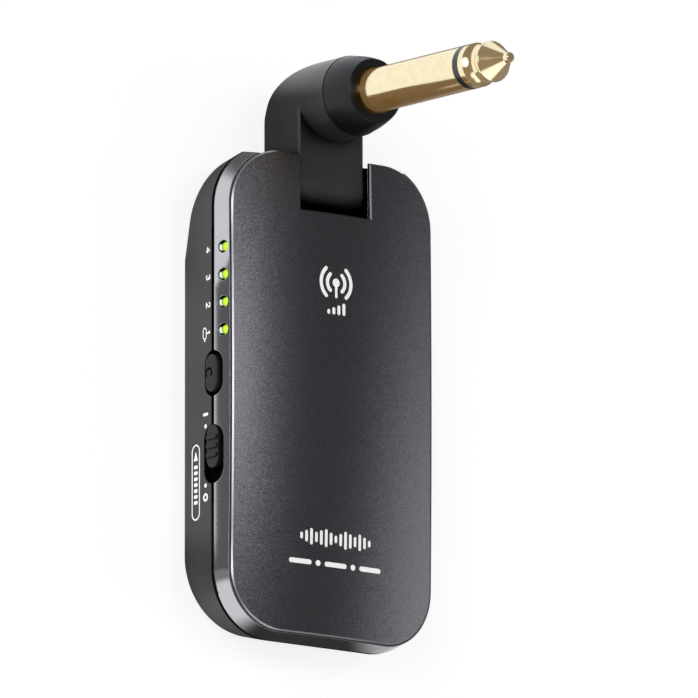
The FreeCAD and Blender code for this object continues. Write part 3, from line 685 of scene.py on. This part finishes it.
def side_marks(material):
    """Lamp numbers, switch positions and the arrow in its pill, on the left side."""
    columns = [-y + 0.1 for y in lamp_rows()]
    strips = []
    for digit, u in zip("432", columns):
        strips += digit_strips(digit, u, NUMBERS_V, 0.95)
    ink("lamp_numbers", strips, on_side, material)
    u, v = columns[3], BATTERY_V
    battery = [ribbon(pill(u - 0.8, u + 0.8, v, 0.4), 0.16, False)]
    battery.append(ribbon(line(u + 1.05, v - 0.12, u + 1.05, v + 0.12), 0.2))
    battery += digit_strips("1", u, NUMBERS_V, 0.8)
    ink("battery_mark", battery, on_side, material)

    low, high = (corner.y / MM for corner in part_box("power_slider"))
    middle = (low + high) / 2 - SLIDER_TRAVEL / 2
    top, bottom, v = -(middle + POCKET_REACH), -(middle - POCKET_REACH), SWITCH_V
    switch = [disc(top + 0.05, v, 0.3), disc(bottom + 0.05, v, 0.3)]
    switch.append(ribbon(line(top - 1.65, v - 0.45, top - 1.65, v + 0.45), 0.42))
    switch.append(ribbon(arc(bottom + 1.75, v, 0.45, 0, 360), 0.3, False))
    ink("switch_marks", switch, on_side, material)

    u, v = DOCK_MARK
    lock = [ribbon(pill(u - 5.35, u + 5.35, v, 0.95), 0.2, False)]
    lock.append(wedge(u - 3.1, v, 0.5, 1.3))
    lock += [ribbon(line(u + x, v - 0.22, u + x, v + 0.22), 0.5)
             for x in (-2.2, -1.35, -0.5, 0.35, 1.2, 2.05, 2.9)]
    ink("dock_arrow_mark", lock, on_side, material)


def plate_marks(material):
    """Radio waves over signal bars at the upper end, a sound wave over dashes at the lower."""
    y = BROADCAST_Y
    waves = [disc(0, y, 0.62), ribbon(line(0, y - 0.5, 0, y - 2.0), 0.42)]
    for radius in (1.55, 2.65):
        for start in (-48, 132):
            waves.append(ribbon(arc(0, y, radius, start, start + 96), 0.55))
    ink("broadcast_mark", waves, on_plate, material)
    y = SIGNAL_BARS_Y
    bars = [ribbon(line(x, y, x, y + 0.2 + 0.35 * i), 0.5)
            for i, x in enumerate((-1.35, -0.45, 0.45, 1.35))]
    ink("signal_bars_mark", bars, on_plate, material)
    y = WAVEFORM_Y
    middle = len(WAVE_BARS) // 2
    wave = [ribbon(line(WAVE_STEP * (i - middle), y - h, WAVE_STEP * (i - middle), y + h), 0.46)
            for i, h in enumerate(WAVE_BARS)]
    ink("waveform_mark", wave, on_plate, material)
    y = DASHES_Y
    dashes = [ribbon(line(x - 1.6, y, x + 1.6, y), 0.7) for x in (-6.2, 0.0, 6.2)]
    dashes += [disc(x, y, 0.42) for x in (-3.1, 3.1)]
    ink("dash_row_mark", dashes, on_plate, material)


# ---------------------------------------------------------------- floor, light and camera

VIEW_FROM = Vector((-0.5987, -0.1836, 0.7796)).normalized()
AIM = Vector((1.86, 7.51, 13.46)) * MM
FRAME_WIDTH = 98.8 * MM
LENS = 1500.0
SENSOR = 36.0
CLIP = (0.05, 20.0)
FLOOR_REACH = 3.0                  # half its width
FLOOR_GAP = 0.02 * MM              # under the body
ARM_CLEARANCE = 0.3 * MM           # between the lowered arm and the floor
PAPER = (0.42, 0.42, 0.42, 1)
PAPER_GLOW = 0.8
SKY = 0.17
BACKDROP = 0.98

# What polished surfaces see in place of the floor. Cards are in millimetres, as pairs of where
# each edge's fade starts and where it is full, along X and along Y.
DARK_FLOOR = 0.17
CARD_LEVEL = 0.93
LEFT_CARD = (((-14.0, -26.0), (-120.0, -90.0)), ((47.0, 41.0),))
LEFT_CARD_LEAN = 1.25
LEFT_CARD_SLANT = (-23.4, -22.6)
CARDS = [
    # fades along X, fades along Y, strength
    (((70.0, 50.0), (-120.0, -90.0)), ((46.0, 54.0), (190.0, 130.0)), 1.6),
    (((-9.0, -22.0), (-60.0, -45.0)), ((-27.0, -33.0),), 1.0),
    (((-7.0, -20.0), (-60.0, -45.0)), ((-24.0, -25.0),), 0.18),
    (((-33.2, -32.7), (-17.0, -18.0)), ((-23.0, -17.0), (22.0, 14.0)), 0.8),
    (((13.0, 20.0), (60.0, 40.0)), ((-24.0, -32.0),), 0.6),
    ((), ((-130.0, -180.0),), 1.0),
]
DARK_PATCH = (((-14.0, -6.0),), ((-34.0, -38.0),))
DARK_PATCH_LEVEL = 0.12
RAISED_RAY = (0.025, 0.028)        # reflections this long, in metres, come from the plug
SHEET_DIRECTION = (-0.848, 0.53)
SHEET_EDGE = (0.0, 1.5)
SHEET_LEVELS = (0.2, 0.98)
SHEET_TINT = (1.0, 1.05, 1.12, 1)


def camera():
    """A long lens at the photograph's viewing angle."""
    data = bpy.data.cameras.new("camera")
    data.lens = LENS
    data.sensor_width = SENSOR
    distance = FRAME_WIDTH * LENS / SENSOR
    data.clip_start, data.clip_end = CLIP
    right = Vector((0, 1, 0)).cross(VIEW_FROM).normalized()
    up = VIEW_FROM.cross(right)
    turn = Matrix((right, up, VIEW_FROM)).transposed().to_4x4()
    piece = bpy.data.objects.new("camera", data)
    piece.matrix_world = Matrix.Translation(AIM + VIEW_FROM * distance) @ turn
    bpy.context.scene.collection.objects.link(piece)
    bpy.context.scene.camera = piece


def card(graph, axes, x_fades, y_fades, *factors):
    """A soft-edged patch of the floor."""
    masks = graph.fades(axes["X"], x_fades) + graph.fades(axes["Y"], y_fades)
    return graph.product(*masks, *factors)


def reflected_floor(graph, axes):
    """What polished parts of the body see: a dark floor with bright cards on it."""
    slant = graph.math("ADD", axes["Y"], graph.product(axes["X"], LEFT_CARD_LEAN))
    cards = [card(graph, axes, *LEFT_CARD, graph.ramp(slant, *LEFT_CARD_SLANT))]
    cards += [card(graph, axes, *settings) for settings in CARDS]
    dark = graph.product(card(graph, axes, *DARK_PATCH), DARK_PATCH_LEVEL)
    base = graph.math("SUBTRACT", DARK_FLOOR, dark)
    return graph.math("ADD", base, graph.product(graph.largest(*cards), CARD_LEVEL))


def reflected_sheet(graph, axes):
    """What the raised plug sees: a bright sheet whose edge runs under the plug's foot."""
    across, along = SHEET_DIRECTION
    dark, step = SHEET_LEVELS
    ahead = graph.math("SUBTRACT", axes["Y"], PLUG_Y)
    aside = graph.math("ADD", graph.product(axes["X"], across), graph.product(ahead, along))
    return graph.math("ADD", graph.product(graph.ramp(aside, *SHEET_EDGE), step), dark)


def keep_under_arm(piece):
    """The arm swings behind the body, below where the body lies, and the floor gives way."""
    axle_low, axle_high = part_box("hinge_axle")
    reach = bpy.data.objects.new("arm_reach", None)
    reach.location = (0, cad_high.y + ARM_CLEARANCE, (axle_low.z + axle_high.z) / 2)
    bpy.context.scene.collection.objects.link(reach)
    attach(reach, "arm")
    follow = piece.constraints.new("COPY_LOCATION")
    follow.target = reach
    follow.use_x = follow.use_y = False
    stay = piece.constraints.new("LIMIT_LOCATION")
    stay.use_max_z = True
    stay.max_z = 0.0


def floor_material():
    """Glowing paper. Polished surfaces see the cards or the sheet in its place."""
    material = bpy.data.materials.new("floor_paper")
    material.use_nodes = True
    graph = Graph(material.node_tree)
    material.node_tree.nodes.remove(material.node_tree.nodes["Principled BSDF"])
    output = material.node_tree.nodes["Material Output"]
    axes = graph.axes(millimetres(graph))
    rays = graph.add("ShaderNodeLightPath").outputs
    paper = graph.add("ShaderNodeBsdfDiffuse", None, {"Color": PAPER}).outputs[0]
    inputs = {"Color": WHITE, "Strength": PAPER_GLOW}
    glow = graph.add("ShaderNodeEmission", None, inputs).outputs[0]
    seen = graph.add("ShaderNodeAddShader", None, {0: paper, 1: glow}).outputs[0]
    raised = graph.ramp(rays["Ray Length"], *RAISED_RAY)
    inputs = {0: raised, 2: reflected_floor(graph, axes), 3: reflected_sheet(graph, axes)}
    level = graph.add("ShaderNodeMix", None, inputs).outputs[0]
    tint = graph.mix(raised, WHITE, SHEET_TINT)
    inputs = {"Color": tint, "Strength": level}
    mirrored = graph.add("ShaderNodeEmission", None, inputs).outputs[0]
    inputs = {0: rays["Is Glossy Ray"], 1: seen, 2: mirrored}
    both = graph.add("ShaderNodeMixShader", None, inputs).outputs[0]
    graph.put(output, "Surface", both)
    return material


def floor():
    """Pale floor just under the body."""
    mesh = bpy.data.meshes.new("floor")
    signs = ((-1, -1), (1, -1), (1, 1), (-1, 1))
    corners = [(x * FLOOR_REACH, y * FLOOR_REACH, -FLOOR_GAP) for x, y in signs]
    mesh.from_pydata(corners, [], [(0, 1, 2, 3)])
    mesh.materials.append(floor_material())
    piece = bpy.data.objects.new("floor", mesh)
    bpy.context.scene.collection.objects.link(piece)
    keep_under_arm(piece)


SOFT_BOXES = [
    # direction, inner and outer angle in degrees, strength
    ((-0.78, 0.18, 0.60), 11, 22, 3.2),
    ((0.134, 0.18, 0.975), 0, 10.5, 5.4),
    ((0.15, -0.98, 0.05), 8, 24, 1.5),
    ((-0.38, -0.90, 0.18), 6, 24, 1.4),
    ((0.91, -0.10, 0.40), 4, 25, 1.9),
]


def studio_world():
    """Soft boxes as smooth patches of an even grey sky. The camera sees a white backdrop."""
    world = bpy.data.worlds.new("studio")
    bpy.context.scene.world = world
    world.use_nodes = True
    graph = Graph(world.node_tree)
    background = world.node_tree.nodes["Background"]
    direction = graph.add("ShaderNodeTexCoord").outputs["Generated"]
    total = SKY
    for axis, inner, outer, strength in SOFT_BOXES:
        toward = graph.vector("DOT_PRODUCT", direction, Vector(axis).normalized())
        patch = graph.ramp(toward, math.cos(math.radians(outer)), math.cos(math.radians(inner)))
        total = graph.math("ADD", total, graph.product(patch, strength))
    direct = graph.add("ShaderNodeLightPath").outputs["Is Camera Ray"]
    backdrop = graph.product(direct, BACKDROP)
    sky = graph.product(graph.less(direct), total)
    graph.put(background, "Strength", graph.math("ADD", backdrop, sky))
    graph.put(background, "Color", WHITE)


dress_nodes()
white_ink_with_painted_glow = printed_ink_with_painted_glow("white_ink_with_painted_glow")
side_marks(white_ink_with_painted_glow)
plate_marks(white_ink_with_painted_glow)
studio_world()
floor()
camera()
bpy.context.scene.view_settings.view_transform = "Standard"
